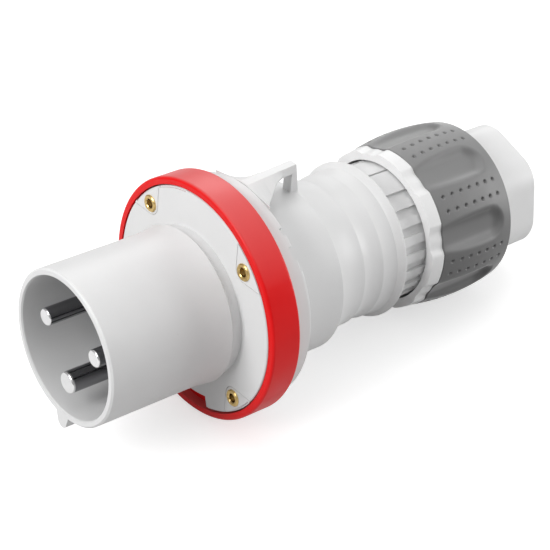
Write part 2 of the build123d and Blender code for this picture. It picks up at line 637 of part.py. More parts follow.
def handle_thread():
    """Rear of the neck, where the nut's thread runs, with the inner shoulder for the cable seal."""
    edge = NECK_EDGE
    shelf = LEDGE + SHOULDER_THICKNESS
    return turned(
        (LEDGE, SHOULDER_R), (LEDGE, NECK_R), (NECK_END - edge, NECK_R), (NECK_END, NECK_R - edge),
        (NECK_END, NECK_BORE), (shelf, NECK_BORE), (shelf, SHOULDER_R))


def collar_step():
    """Raised part of the collar's rear face, with a chamfered edge, over most of the turn."""
    back = COLLAR_BACK + STEP_HEIGHT
    profile = make_face(Polyline(
        (COLLAR_BACK - 1, BODY_R), (COLLAR_BACK - 1, STEP_R), (back - STEP_CHAMFER, STEP_R),
        (back, STEP_R - STEP_CHAMFER), (back, BODY_R), close=True))
    start, end = STEP_ANGLES
    return spin(revolve(profile, Axis.X, end - start), start)


def handle_collar():
    """Collar over the flange screws, hollow in front, with seats for the carrier and the gasket."""
    edge = COLLAR_EDGE
    counterbore = COLLAR_FRONT + CARRIER_FLANGE
    collar = turned(
        (COLLAR_FRONT, CARRIER_FLANGE_R + SEAT), (COLLAR_FRONT, COLLAR_R), (COLLAR_BACK - edge, COLLAR_R),
        (COLLAR_BACK, COLLAR_R - edge), (COLLAR_BACK, BODY_BORE), (counterbore, BODY_BORE),
        (counterbore, CARRIER_FLANGE_R + SEAT))
    collar += collar_step()
    collar -= tube(COLLAR_FRONT - 1, COLLAR_FRONT + GASKET_THICKNESS, GASKET_OUTER_R, GASKET_R)
    core_back = COLLAR_BACK - COLLAR_CORE_FLOOR
    core = tube(COLLAR_FRONT - 1, core_back, COLLAR_R - COLLAR_RIM, GASKET_OUTER_R + GASKET_WALL)
    seat = COLLAR_BACK - POCKET_DEPTH
    for angle in CORNER_ANGLES:
        core -= rod(COLLAR_FRONT - 2, core_back + 1, POCKET_R + POCKET_WALL, corner_place(angle))
    collar -= core
    for angle in CORNER_ANGLES:
        collar -= rod(seat, COLLAR_BACK + STEP_HEIGHT + 1, POCKET_R, corner_place(angle))
        collar -= rod(COLLAR_FRONT - 1, seat + 1, INSERT_THREAD_R + SLACK, corner_place(angle))
    for start, end in SLIT_ANGLES:
        collar -= arc_block(COLLAR_BACK - SLIT_DEPTH, COLLAR_BACK + 1, COLLAR_R - SLIT_DEPTH, COLLAR_R + 1,
                            start, end)
    return collar


def lug_section(place, half, drop):
    """Section of the lug: a narrow top, sloping flanks, thin side edges and a flat underside."""
    top = COLLAR_R + LUG_RISE * place / LUG_PLACES[-1]
    under = top - drop
    right = [(half, under), (half, under + LUG_EDGE), (LUG_TOP_HALF, top)]
    left = [(-y, z) for y, z in reversed(right)]
    return section(COLLAR_BACK + place) * make_face(Polyline(*right, *left, close=True))


def handle_lug():
    """Bridge that flares out to the collar in front and stands on a leg behind."""
    sections = [lug_section(*sizes) for sizes in zip(LUG_PLACES, LUG_HALVES, LUG_DROPS)]
    bridge = loft(sections, ruled=True)
    back = COLLAR_BACK + LUG_PLACES[-1]
    rear_half = LUG_HALVES[-1]
    foot = BODY_R - HANDLE_WALL / 2
    under = LUG_TOP - LUG_DROPS[-1]
    across = Plane(origin=(0, rear_half, 0), x_dir=(1, 0, 0), z_dir=(0, -1, 0))
    leg = make_face(Polyline((back - LUG_LEG, foot), (back - LUG_LEG, under + LUG_EDGE), (back, under + LUG_EDGE),
                             (back + LUG_LEG_FLARE, foot), close=True))
    lug = bridge + extrude(across * leg, 2 * rear_half)
    return lug - handle_housing()


def clamp_cage():
    """Ring with slotted fingers behind the neck, which the nut squeezes onto the cable."""
    flange_back = NECK_END + CAGE_FLANGE
    bevel = CAGE_FINGER_WALL / 2
    cage = turned((NECK_END, CAGE_BORE), (NECK_END, NECK_R - CAGE_RIM), (flange_back, NECK_R - CAGE_RIM),
                  (flange_back, CAGE_FINGER_R), (CAGE_END - 2 * bevel, CAGE_FINGER_R),
                  (CAGE_END, CAGE_FINGER_R - bevel), (CAGE_END, CAGE_BORE))
    slot_length = 2 * (CAGE_FINGER_LENGTH - CAGE_FLANGE / 2)
    slot = Pos(CAGE_END, 0, 0) * Box(slot_length, 4 * NECK_R, CAGE_SLOT)
    for n in range(CAGE_FINGERS // 2):
        cage -= spin(slot, n * 360 / CAGE_FINGERS)
    return cage


def cable_seal():
    """Rubber sleeve round the cable, in the neck and inside the cage."""
    front = NECK_END - SEAL_DEPTH
    tail = NECK_END + SEAL_TAIL
    outer = CAGE_BORE - SEAT
    edge = SEAL_EDGE
    return turned((front, SEAL_BORE), (front, NECK_BORE - SEAT), (NECK_END, NECK_BORE - SEAT),
                  (NECK_END, outer), (tail - edge, outer), (tail, outer - edge), (tail, SEAL_BORE))


def slip_ring():
    """Ring in the nut that presses the cage without turning with the nut."""
    outer = NUT_REAR_BORE - SLACK
    inner = OUTLET_BORE + SLIP_RING_STEP
    edge = SLIP_RING_THICKNESS / 4
    return turned((SLIP_RING_FRONT + edge, inner), (SLIP_RING_FRONT, inner + edge),
                  (SLIP_RING_FRONT, outer - edge), (SLIP_RING_FRONT + edge, outer), (SLIP_RING_BACK, outer),
                  (SLIP_RING_BACK, inner))


def groove_section(floor_r):
    """Section of a finger groove at angle 0, open outwards, with rounded floor corners."""
    open_r = floor_r + GROOVE_REACH
    slope = (GROOVE_SIDE_HALF - GROOVE_FLOOR_HALF) / GROOVE_SIDE_RISE
    spread = GROOVE_FLOOR_HALF + slope * GROOVE_REACH
    outline = make_face(Polyline((floor_r, -GROOVE_FLOOR_HALF), (open_r, -spread), (open_r, spread),
                                 (floor_r, GROOVE_FLOOR_HALF), close=True))
    floor_corners = outline.vertices().sort_by(Axis.X)[:2]
    return fillet(floor_corners, GROOVE_ROUND)


def groove_angles():
    """Angles of the finger grooves, each between two lobes."""
    pitch = 360 / LOBES
    return [LOBE_ANGLE + (n + 0.5) * pitch for n in range(LOBES)]


def finger_grooves():
    """Cutters for the grooves of the grip, open in front and with a round rear end."""
    front = GRIP_FRONT - 2
    end = GRIP_FRONT + GROOVE_END
    floor_r = NUT_CORE_R + GROOVE_RISE
    cutter = extrude(section(front) * groove_section(floor_r), end - front)
    reach = 2 * GROOVE_REACH
    half = groove_section(floor_r) & Pos(floor_r + reach / 4, reach) * Rectangle(reach, 2 * reach)
    cutter += Pos(end, 0, 0) * revolve(section(0) * half, Axis.Y, 360)
    return [spin(cutter, angle) for angle in groove_angles()]


def lobed_outline(ridge_r):
    """Round outline with a smooth shallow valley between each pair of lobes."""
    floor_r = ridge_r - NUT_VALLEY_DROP
    pitch = 360 / LOBES
    edges = []
    for angle in groove_angles():
        first, last = angle - VALLEY_HALF_ANGLE, angle + VALLEY_HALF_ANGLE
        dips = [polar(floor_r, angle + side * VALLEY_FLOOR_ANGLE) for side in (-1, 0, 1)]
        slopes = [polar(1, first + 90), polar(1, last + 90)]
        edges.append(Spline(polar(ridge_r, first), *dips, polar(ridge_r, last), tangents=slopes))
        edges.append(ThreePointArc(polar(ridge_r, last), polar(ridge_r, angle + pitch / 2),
                                   polar(ridge_r, first + pitch)))
    return make_face(edges)


def rounded_hexagon(flat, corner):
    """Six-sided outline with large rounded corners."""
    reach = (flat - corner) / math.cos(math.radians(30))
    places = [polar(reach, OUTLET_ANGLE + n * 60) for n in range(6)]
    return make_hull([Pos(*place) * Edge.make_circle(corner) for place in places])


def gland_nut():
    """Nut with a lobed lip in front of the grip and a six-sided outlet behind it."""
    thread_front = NUT_FRONT + NUT_MOUTH_LENGTH
    shoulder = GLAND_TRAVEL + NECK_END + CAGE_FLANGE + SLACK + GLAND_STOP_GAP
    lip_front = section(NUT_FRONT) * lobed_outline(NUT_RIDGE_R)
    lip = loft([lip_front, section(GRIP_FRONT) * lobed_outline(GRIP_FRONT_R)], ruled=True)
    core = rod(GRIP_FRONT - 0.5, GRIP_BACK, NUT_CORE_R)
    hexagon = rounded_hexagon(OUTLET_FLAT, OUTLET_CORNER_R)
    outlet = extrude(section(GRIP_BACK - 1) * hexagon, OUTLET_LENGTH + 1)
    outlet = fillet(outlet.faces().sort_by(Axis.X)[-1].edges(), OUTLET_ROUND)
    mouth_r = NECK_R + NUT_MOUTH_CLEARANCE
    taper = NUT_THREAD_BORE - NUT_REAR_BORE
    hollow = turned(
        (NUT_FRONT - 1, 0), (NUT_FRONT - 1, mouth_r), (thread_front, mouth_r),
        (thread_front + NUT_MOUTH_CLEARANCE, NUT_THREAD_BORE), (shoulder, NUT_THREAD_BORE),
        (shoulder + taper / 2, NUT_REAR_BORE), (SLIP_RING_BACK + SLACK, NUT_REAR_BORE),
        (SLIP_RING_BACK + SLACK, OUTLET_BORE), (OUTLET_END - OUTLET_MOUTH, OUTLET_BORE),
        (OUTLET_END + 1, OUTLET_BORE + OUTLET_MOUTH + 1), (OUTLET_END + 1, 0))
    return lip + core + outlet - hollow


def grip_sleeve():
    """Soft barrel over the nut with a finger groove between each pair of lobes."""
    peak = (GRIP_FRONT + GRIP_PEAK, NUT_CORE_R + GRIP_RISE)
    rear_r = NUT_CORE_R + GRIP_REAR_RISE
    inset = GRIP_ROUND * (1 - math.sqrt(0.5))
    round_front = (GRIP_BACK - GRIP_ROUND, rear_r)
    sleeve = lathe(
        Line((GRIP_FRONT, NUT_CORE_R), (GRIP_FRONT, GRIP_FRONT_R)),
        ThreePointArc((GRIP_FRONT, GRIP_FRONT_R), peak, round_front),
        ThreePointArc(round_front, (GRIP_BACK - inset, rear_r - inset), (GRIP_BACK, rear_r - GRIP_ROUND)),
        Line((GRIP_BACK, rear_r - GRIP_ROUND), (GRIP_BACK, NUT_CORE_R)),
        Line((GRIP_BACK, NUT_CORE_R), (GRIP_FRONT, NUT_CORE_R)))
    for cutter in finger_grooves():
        sleeve -= cutter
    return sleeve


NODES = {
    "shroud_housing": shroud_housing,
    "clamp_blocks": clamp_blocks,
    "brass_inserts": brass_inserts,
    "flange_screws": flange_screws,
    "locking_ring": locking_ring,
    "contact_carrier": contact_carrier,
    "pin_retainer": pin_retainer,
    "retainer_screws": retainer_screws,
    "pin_seals": pin_seals,
    "carrier_seal": carrier_seal,
    "earth_pin": lambda: contact_pin("earth"),
    "phase_pin_left": lambda: contact_pin("left"),
    "phase_pin_right": lambda: contact_pin("right"),
    "earth_terminal_screws": lambda: terminal_screws(["earth"]),
    "phase_terminal_screws": lambda: terminal_screws(["left", "right"]),
    "flange_gasket": flange_gasket,
    "handle_collar": handle_collar,
    "handle_lug": handle_lug,
    "handle_housing": handle_housing,
    "handle_neck": handle_neck,
    "handle_thread": handle_thread,
    "clamp_cage": clamp_cage,
    "cable_seal": cable_seal,
    "slip_ring": slip_ring,
    "gland_nut": gland_nut,
    "grip_sleeve": grip_sleeve,
}

os.makedirs("parts", exist_ok=True)
for node, build in NODES.items():
    export_step(build(), f"parts/{node}.step")
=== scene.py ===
# %% [markdown]
# # An industrial pin and sleeve plug
#
# The solids of the plug come from its CAD model as a fixed frame: each has its real size and its real
# place. This notebook dresses them. It sets the camera and the light, gives every piece its finish, and
# makes the pieces whose look the plain solids can't carry, such as the dimpled grip.

# %% Load the frame
import math

import bmesh
import bpy
from mathutils import Matrix, Vector


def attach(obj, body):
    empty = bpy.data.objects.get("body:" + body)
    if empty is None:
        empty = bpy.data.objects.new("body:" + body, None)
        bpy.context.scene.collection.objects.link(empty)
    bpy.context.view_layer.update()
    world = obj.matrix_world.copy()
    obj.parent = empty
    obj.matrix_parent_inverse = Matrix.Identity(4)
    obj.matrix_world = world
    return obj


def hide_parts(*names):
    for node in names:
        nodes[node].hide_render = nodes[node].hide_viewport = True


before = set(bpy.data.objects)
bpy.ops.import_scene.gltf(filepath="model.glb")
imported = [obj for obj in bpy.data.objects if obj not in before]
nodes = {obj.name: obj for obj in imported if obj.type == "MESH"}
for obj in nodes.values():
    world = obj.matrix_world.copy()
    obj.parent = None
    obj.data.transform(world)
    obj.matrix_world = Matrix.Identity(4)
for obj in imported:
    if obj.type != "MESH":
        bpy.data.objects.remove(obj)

scene = bpy.context.scene
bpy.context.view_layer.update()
MM = 0.001
print("pieces in the frame:", len(nodes))

# %% [markdown]
# ## Camera
#
# The camera stands where the photographer stood. It was found by matching round edges of the plug, which
# look like ellipses from the side, to the picture. A long lens far away keeps the two ends of the plug
# nearly the same size. Setting the matrix from three axes is surer than angles, because nothing can be
# turned in the wrong order.

# %% Place the camera
camera_right = Vector((0.7684, -0.6347, 0.0813)).normalized()
camera_up = Vector((0.2954, 0.4645, 0.8349)).normalized()
camera_back = camera_right.cross(camera_up).normalized()
camera_up = camera_back.cross(camera_right)
camera_place = Vector((-347.3, -503.9, 440.5)) * MM

camera_data = bpy.data.cameras.new("Camera")
camera_data.sensor_width = 36
camera_data.lens = 116.7
camera_data.clip_start = 0.05
camera = bpy.data.objects.new("Camera", camera_data)
camera_axes = Matrix((camera_right, camera_up, camera_back)).transposed().to_4x4()
camera.matrix_world = Matrix.Translation(camera_place) @ camera_axes
scene.collection.objects.link(camera)
scene.camera = camera
print("camera looks along", [round(-v, 3) for v in camera_back])

# %% [markdown]
# ## Floor
#
# The plug lies on the rim of its ring and on its grip, so its axis is a few degrees off the floor. The
# plug stays where the CAD model has it, and the floor is tilted to touch it instead. One large flat face
# is enough, because the camera sees nothing of its edges.

# %% Make the floor
RING_EDGE = (81.7, 56.3)       # place along the axis and radius, in millimetres
GRIP_BULGE = (209.0, 42.15)
floor_slope = (RING_EDGE[1] - GRIP_BULGE[1]) / (GRIP_BULGE[0] - RING_EDGE[0])
FLOOR_REACH = 6.0              # metres to each side


def floor_height(x):
    """Height of the floor under a place on the plug's axis, in metres."""
    return (-RING_EDGE[1] + floor_slope * (x / MM - RING_EDGE[0])) * MM


def make_floor():
    """One large face that touches the ring and the grip."""
    mesh = bpy.data.meshes.new("floor")
    corners = [(sx * FLOOR_REACH, sy * FLOOR_REACH) for sx, sy in ((-1, -1), (1, -1), (1, 1), (-1, 1))]
    mesh.from_pydata([(x, y, floor_height(x)) for x, y in corners], [], [(0, 1, 2, 3)])
    floor = bpy.data.objects.new("floor", mesh)
    scene.collection.objects.link(floor)
    return floor


floor = make_floor()
print("floor slope in degrees:", round(math.degrees(math.atan(floor_slope)), 2))

# %% [markdown]
# ## Helpers
#
# Every look in this notebook is a tree of small nodes: the sky, the materials and the dimples. These few
# functions make and join nodes, so that the cells below read like formulas.

# %% Helpers for node trees


def add(tree, kind, **settings):
    """A node with its properties set by name."""
    node = tree.nodes.new(kind)
    for key, value in settings.items():
        setattr(node, key, value)
    return node


def math_node(tree, operation, first, second=None, third=None):
    """A Math node whose inputs are sockets or numbers. Returns its output."""
    node = add(tree, "ShaderNodeMath", operation=operation)
    for index, value in enumerate((first, second, third)):
        if value is None:
            continue
        if isinstance(value, (int, float)):
            node.inputs[index].default_value = value
        else:
            tree.links.new(value, node.inputs[index])
    return node.outputs[0]


def ranged(tree, value, low, high, to_low, to_high, kind="LINEAR"):
    """A Map Range node from one span to another, clamped. The ends are numbers or sockets."""
    node = add(tree, "ShaderNodeMapRange", interpolation_type=kind)
    tree.links.new(value, node.inputs["Value"])
    for label, number in (("From Min", low), ("From Max", high), ("To Min", to_low), ("To Max", to_high)):
        if isinstance(number, (int, float)):
            node.inputs[label].default_value = number
        else:
            tree.links.new(number, node.inputs[label])
    return node.outputs["Result"]


def mixed(tree, share, first, second):
    """A mix of two colours by a share. Each is a colour or a socket."""
    node = add(tree, "ShaderNodeMix", data_type="RGBA")
    tree.links.new(share, node.inputs["Factor"])
    for label, value in (("A", first), ("B", second)):
        if isinstance(value, bpy.types.NodeSocket):
            tree.links.new(value, node.inputs[label])
        else:
            node.inputs[label].default_value = (*[min(1.0, part) for part in value], 1)
    return node.outputs["Result"]


def bumped(tree, height, strength, distance):
    """A normal that follows a height, whose full step is a distance in millimetres."""
    node = add(tree, "ShaderNodeBump")
    node.inputs["Strength"].default_value = strength
    node.inputs["Distance"].default_value = distance * MM
    tree.links.new(height, node.inputs["Height"])
    return node.outputs["Normal"]


def place_group(tree, group, **values):
    """A group node with some inputs set, whose keys have underscores for spaces."""
    node = add(tree, "ShaderNodeGroup", node_tree=group)
    for key, value in values.items():
        node.inputs[key.replace("_", " ")].default_value = value
    return node


print("helpers ready")

# %% [markdown]
# ## Light
#
# A product photograph like this one is lit from above by large soft boxes, so that tops are bright, sides
# grow darker and hollows go dark. The world does the wide part of that: it is bright overhead and dim at
# the horizon. Four square lights do the rest. One hangs overhead. One stands before the mouth and reaches
# into the shroud. One stands behind the plug, and its sheen runs along the top. A low one at the cable's
# end draws the waves of the handle. The pale floor throws some light back from below. The plain Standard
# view keeps white white, where a filmic view would turn it grey.

# %% Light the scene
SKY_TOP = 0.58
SKY_HORIZON = 0.30
SKY_FADE = 0.9         # height of the sky's direction at which it is as bright as overhead
PLUG_MIDDLE = (0.12, 0, 0)
scene.view_settings.view_transform = "Standard"


def make_world():
    """A grey surround that is bright overhead and dim at the horizon, behind a white backdrop."""
    world = bpy.data.worlds.new("studio")
    world.use_nodes = True
    tree = world.node_tree
    background = tree.nodes["Background"]
    background.inputs["Color"].default_value = (1, 1, 1, 1)
    split = add(tree, "ShaderNodeSeparateXYZ")
    tree.links.new(add(tree, "ShaderNodeTexCoord").outputs["Generated"], split.inputs[0])
    sky = ranged(tree, split.outputs["Z"], 0.0, SKY_FADE, SKY_HORIZON, SKY_TOP, "SMOOTHSTEP")
    seen = add(tree, "ShaderNodeLightPath").outputs["Is Camera Ray"]
    tree.links.new(math_node(tree, "MAXIMUM", sky, seen), background.inputs["Strength"])
    scene.world = world


def soft_box(name, place, size, power):
    """A square area light that looks at the middle of the plug."""
    data = bpy.data.lights.new(name, "AREA")
    data.shape = "SQUARE"
    data.size = size
    data.energy = power
    light = bpy.data.objects.new(name, data)
    direction = Vector(PLUG_MIDDLE) - Vector(place)
    turn = direction.to_track_quat("-Z", "Y").to_matrix().to_4x4()
    light.matrix_world = Matrix.Translation(Vector(place)) @ turn
    scene.collection.objects.link(light)
    return light


make_world()
soft_box("overhead", (0.05, 0.15, 1.2), size=0.8, power=3.0)
soft_box("front", (-1.00, 0.05, 0.62), size=0.6, power=10.0)
soft_box("behind", (0.85, 0.90, 0.72), size=0.6, power=3.4)
soft_box("cable end", (1.20, -0.55, 0.25), size=0.6, power=8.0)

# %% [markdown]
# ## Shared effects
#
# Moulded plastic is never quite even: it has a fine grain from the mould, slow changes in gloss, and
# small marks from handling. Each effect is a node group with named inputs, built once and placed in each
# material with its own values. A group puts out masks and values only, and the shader stays outside it.

# %% Start a node group


def new_group(name, inputs, outputs):
    """An empty node group with named float inputs (name, default) and outputs (name, type)."""
    tree = bpy.data.node_groups.new(name, "ShaderNodeTree")
    for label, default in inputs:
        socket = tree.interface.new_socket(label, in_out="INPUT", socket_type="NodeSocketFloat")
        socket.default_value = default
    for label, kind in outputs:
        tree.interface.new_socket(label, in_out="OUTPUT", socket_type=kind)
    return tree, tree.nodes.new("NodeGroupInput"), tree.nodes.new("NodeGroupOutput")


print("groups are built by: new_group")

# %% Mould grain


def grain_group():
    """Fine moulded grain, with slow cloudiness, from the object's own coordinates."""
    tree, given, result = new_group(
        "mould_grain", [("Grain Size mm", 0.35), ("Cloud Size mm", 18.0), ("Offset", 0.0)],
        [("Grain", "NodeSocketFloat"), ("Cloud", "NodeSocketFloat")])
    place = add(tree, "ShaderNodeTexCoord").outputs["Object"]
    shifted = add(tree, "ShaderNodeVectorMath", operation="ADD")
    tree.links.new(place, shifted.inputs[0])
    tree.links.new(given.outputs["Offset"], shifted.inputs[1])
    for label, source, detail in (("Grain", "Grain Size mm", 2.0), ("Cloud", "Cloud Size mm", 3.0)):
        noise = add(tree, "ShaderNodeTexNoise")
        noise.inputs["Detail"].default_value = detail
        tree.links.new(shifted.outputs[0], noise.inputs["Vector"])
        tree.links.new(math_node(tree, "DIVIDE", 1000.0, given.outputs[source]), noise.inputs["Scale"])
        tree.links.new(noise.outputs["Fac"], result.inputs[label])
    return tree


mould_grain = grain_group()
print("group:", mould_grain.name)

# %% Handling marks
SCRATCH_LAYERS = [((0.3, 0.9, 0.4), 14.0), ((1.2, 0.2, 1.9), 18.0)]    # turn, and how much longer than wide
SCRATCH_MASK = (0.70, 0.76)
DUST_MASK = (0.68, 0.80)
DUST_SCALE = 900.0


def marks_group():
    """Sparse fine scratches and a little dust, as masks from 0 to 1."""
    tree, given, result = new_group(
        "handling_marks", [("Scratch Length mm", 9.0), ("Scratch Amount", 0.3), ("Dust Amount", 0.3)],
        [("Scratches", "NodeSocketFloat"), ("Dust", "NodeSocketFloat")])
    place = add(tree, "ShaderNodeTexCoord").outputs["Object"]
    scale = math_node(tree, "DIVIDE", 1000.0, given.outputs["Scratch Length mm"])
    layers = []
    for turn, stretch in SCRATCH_LAYERS:
        mapping = add(tree, "ShaderNodeMapping")
        tree.links.new(place, mapping.inputs["Vector"])
        mapping.inputs["Rotation"].default_value = turn
        mapping.inputs["Scale"].default_value = (1.0, stretch, stretch)
        noise = add(tree, "ShaderNodeTexNoise")
        noise.inputs["Detail"].default_value = 1.0
        tree.links.new(mapping.outputs[0], noise.inputs["Vector"])
        tree.links.new(scale, noise.inputs["Scale"])
        layers.append(ranged(tree, noise.outputs["Fac"], *SCRATCH_MASK, 0.0, 1.0))
    both = math_node(tree, "MAXIMUM", layers[0], layers[1])
    tree.links.new(math_node(tree, "MULTIPLY", both, given.outputs["Scratch Amount"]),
                   result.inputs["Scratches"])
    dust = add(tree, "ShaderNodeTexNoise")
    dust.inputs["Scale"].default_value = DUST_SCALE
    dust.inputs["Detail"].default_value = 2.0
    tree.links.new(place, dust.inputs["Vector"])
    specks = ranged(tree, dust.outputs["Fac"], *DUST_MASK, 0.0, 1.0)
    tree.links.new(math_node(tree, "MULTIPLY", specks, given.outputs["Dust Amount"]), result.inputs["Dust"])
    return tree


handling_marks = marks_group()
print("group:", handling_marks.name)

# %% [markdown]
# ## Plastics
#
# The shroud, the flange, the handle and the nut are moulded in nearly the same light grey. One function
# makes each plastic from its colour, its gloss and the size of its grain, so that the pieces stay a
# family and still differ a little, as they do in the photograph.

# %% How a plastic is made
CLOUD_SPAN = (0.3, 0.7)        # from the cloud's dark places to its bright ones
GLOSS_SWING = 0.05
SCUFF = 0.2                    # how much rougher a scratch is
DUST_TONE = 0.8


def new_material(name):
    """A material with nodes. Returns it, its tree and its shader."""
    material = bpy.data.materials.new(name)
    material.use_nodes = True
    return material, material.node_tree, material.node_tree.nodes["Principled BSDF"]


def scaled(colour, factor):
    """A colour made brighter or darker."""
    return [part * factor for part in colour]


def plastic(name, colour, rough, grain=0.35, grain_height=0.02, cloud=0.04, marks=0.25, specular=0.3):
    """Moulded plastic with grain, cloudy gloss and faint handling marks."""
    material, tree, shader = new_material(name)
    shader.inputs["Specular IOR Level"].default_value = specular
    noise = place_group(tree, mould_grain, Grain_Size_mm=grain)
    wear = place_group(tree, handling_marks, Scratch_Amount=marks, Dust_Amount=marks)
    tint = mixed(tree, noise.outputs["Cloud"], scaled(colour, 1 - cloud), scaled(colour, 1 + cloud))
    dusty = mixed(tree, wear.outputs["Dust"], tint, scaled(colour, DUST_TONE))
    tree.links.new(dusty, shader.inputs["Base Color"])
    gloss = ranged(tree, noise.outputs["Cloud"], *CLOUD_SPAN, rough - GLOSS_SWING, rough + GLOSS_SWING)
    scuff = math_node(tree, "MULTIPLY", wear.outputs["Scratches"], SCUFF)
    tree.links.new(math_node(tree, "ADD", gloss, scuff), shader.inputs["Roughness"])
    height = math_node(tree, "SUBTRACT", noise.outputs["Grain"], wear.outputs["Scratches"])
    ridges = bumped(tree, height, strength=0.6, distance=grain_height)
    tree.links.new(ridges, shader.inputs["Normal"])
    return material


print("plastics are made by: plastic")

# %% Paper, and painted highlight on top faces
PAPER_WHITE = 0.62
PAPER_GLOW = 0.6       # added for the camera, so that the floor looks as white as the photograph's
PAPER_BOUNCE = 0.50    # what the plug gets back from the floor
PAPER_MIRRORED = 0.4   # how much of the white floor shows in the metal
SHEEN_ROUGH = 0.4


def paper():
    """Paper that looks white, also in the metal, and throws only some light back onto the plug."""
    material = plastic("floor_paper", [PAPER_WHITE] * 3, 0.9, cloud=0.004, marks=0.0, specular=0.1)
    tree = material.node_tree
    seen = tree.nodes["Principled BSDF"]
    seen.inputs["Emission Color"].default_value = (1, 1, 1, 1)
    seen.inputs["Emission Strength"].default_value = PAPER_GLOW
    bounce = add(tree, "ShaderNodeBsdfDiffuse")
    bounce.inputs["Color"].default_value = (PAPER_BOUNCE, PAPER_BOUNCE, PAPER_BOUNCE, 1)
    ray = add(tree, "ShaderNodeLightPath")
    mirrored = math_node(tree, "MULTIPLY", ray.outputs["Is Glossy Ray"], PAPER_MIRRORED)
    choose = add(tree, "ShaderNodeMixShader")
    tree.links.new(math_node(tree, "MAXIMUM", ray.outputs["Is Camera Ray"], mirrored), choose.inputs[0])
    tree.links.new(bounce.outputs[0], choose.inputs[1])
    tree.links.new(seen.outputs[0], choose.inputs[2])
    tree.links.new(choose.outputs[0], tree.nodes["Material Output"].inputs["Surface"])
    return material


def lay_over(material, share, colour):
    """Lay a second colour over a material's own, by a share from 0 to 1."""
    tree = material.node_tree
    base = tree.nodes["Principled BSDF"].inputs["Base Color"]
    tree.links.new(mixed(tree, share, base.links[0].from_socket, colour), base)


def paint_top_highlight(material, colour, low, high, sheen=0.0):
    """Painted highlight, paler where a material faces up between two heights of its normal; a soft sheen
    too.
    """
    tree = material.node_tree
    split = add(tree, "ShaderNodeSeparateXYZ")
    tree.links.new(add(tree, "ShaderNodeNewGeometry").outputs["Normal"], split.inputs[0])
    lay_over(material, ranged(tree, split.outputs["Z"], low, high, 0.0, 1.0), colour)
    shader = tree.nodes["Principled BSDF"]
    shader.inputs["Sheen Weight"].default_value = sheen
    shader.inputs["Sheen Roughness"].default_value = SHEEN_ROUGH


# helpers for the paper and the painted top highlight are ready
print("paper and dust ready")

# %% Make the plastics
shroud_plastic = plastic("shroud_plastic", (0.72, 0.72, 0.72), 0.42)
handle_plastic = plastic("handle_plastic", (0.74, 0.74, 0.74), 0.40)
nut_plastic = plastic("nut_plastic", (0.80, 0.80, 0.80), 0.38)
block_plastic = plastic("block_plastic", (0.73, 0.73, 0.73), 0.42)
carrier_plastic = plastic("carrier_plastic", (0.30, 0.30, 0.31), 0.5)
cage_plastic = plastic("cage_plastic", (0.40, 0.40, 0.40), 0.5)
slip_plastic = plastic("slip_plastic", (0.60, 0.60, 0.60), 0.35)
ring_plastic = plastic("ring_plastic", (0.74, 0.002, 0.003), 0.36, grain_height=0.01, marks=0.2,
                       specular=0.25)
# painted highlight: the ring's upward faces are painted a paler pink, standing in for the sheen of the
# light above
paint_top_highlight(ring_plastic, (0.70, 0.10, 0.10), low=0.55, high=1.0)
grip_rubber = plastic("grip_rubber", (0.055, 0.055, 0.055), 0.55, grain=0.25, specular=0.8)
# painted highlight: the grip's upward faces are painted a paler grey, standing in for the light from above
paint_top_highlight(grip_rubber, (0.19, 0.19, 0.19), low=-0.2, high=0.9, sheen=0.5)
seal_rubber = plastic("seal_rubber", (0.02, 0.02, 0.02), 0.55, grain=0.3)
floor.data.materials.append(paper())
print("plastics:", len(bpy.data.materials))

# %% [markdown]
# ## Metals
#
# The pins are bright at their tips and painted darker behind them, a painted dark reflection of the hollow
# they stand in. The inserts are turned brass, and the screws are zinc-plated steel. A turned surface
# carries fine rings, which stretch the highlight, and handling leaves a few marks.

# %% Make the metals
STAIN_TONES = (0.85, 1.1)
METAL_GLOSS = (0.8, 1.2)
METAL_SCUFF = 0.15
LINE_SCALE = 9000.0
LINE_STRETCH = 0.02    # the rings' pattern is this much slower around than along


def metal(name, colour, rough, line_height=0.003, marks=0.4):
    """Turned metal with fine lines across X and faint stains."""
    material, tree, shader = new_material(name)
    shader.inputs["Metallic"].default_value = 1.0
    noise = place_group(tree, mould_grain, Grain_Size_mm=0.5, Cloud_Size_mm=6.0)
    wear = place_group(tree, handling_marks, Scratch_Amount=marks, Dust_Amount=marks)
    stain = mixed(tree, noise.outputs["Cloud"], *[scaled(colour, tone) for tone in STAIN_TONES])
    tree.links.new(stain, shader.inputs["Base Color"])
    gloss = ranged(tree, noise.outputs["Cloud"], *CLOUD_SPAN, *[rough * share for share in METAL_GLOSS])
    scuff = math_node(tree, "MULTIPLY", wear.outputs["Scratches"], METAL_SCUFF)
    tree.links.new(math_node(tree, "ADD", gloss, scuff), shader.inputs["Roughness"])
    mapping = add(tree, "ShaderNodeMapping")
    mapping.inputs["Scale"].default_value = (1.0, LINE_STRETCH, LINE_STRETCH)
    tree.links.new(add(tree, "ShaderNodeTexCoord").outputs["Object"], mapping.inputs["Vector"])
    lines = add(tree, "ShaderNodeTexNoise")
    lines.inputs["Scale"].default_value = LINE_SCALE
    lines.inputs["Detail"].default_value = 1.0
    tree.links.new(mapping.outputs[0], lines.inputs["Vector"])
    ridges = bumped(tree, lines.outputs["Fac"], strength=0.5, distance=line_height)
    tree.links.new(ridges, shader.inputs["Normal"])
    return material


def paint_dark_reflection(material, colour, bright_end, dark_start):
    """Paint a metal darker behind its tip, as painted dark reflection, from two places along the axis in
    mm.
    """
    tree = material.node_tree
    split = add(tree, "ShaderNodeSeparateXYZ")
    tree.links.new(add(tree, "ShaderNodeTexCoord").outputs["Object"], split.inputs[0])
    share = ranged(tree, split.outputs["X"], bright_end * MM, dark_start * MM, 0.0, 1.0)
    lay_over(material, share, colour)


pin_metal = metal("pin_metal", (0.90, 0.90, 0.90), 0.16)
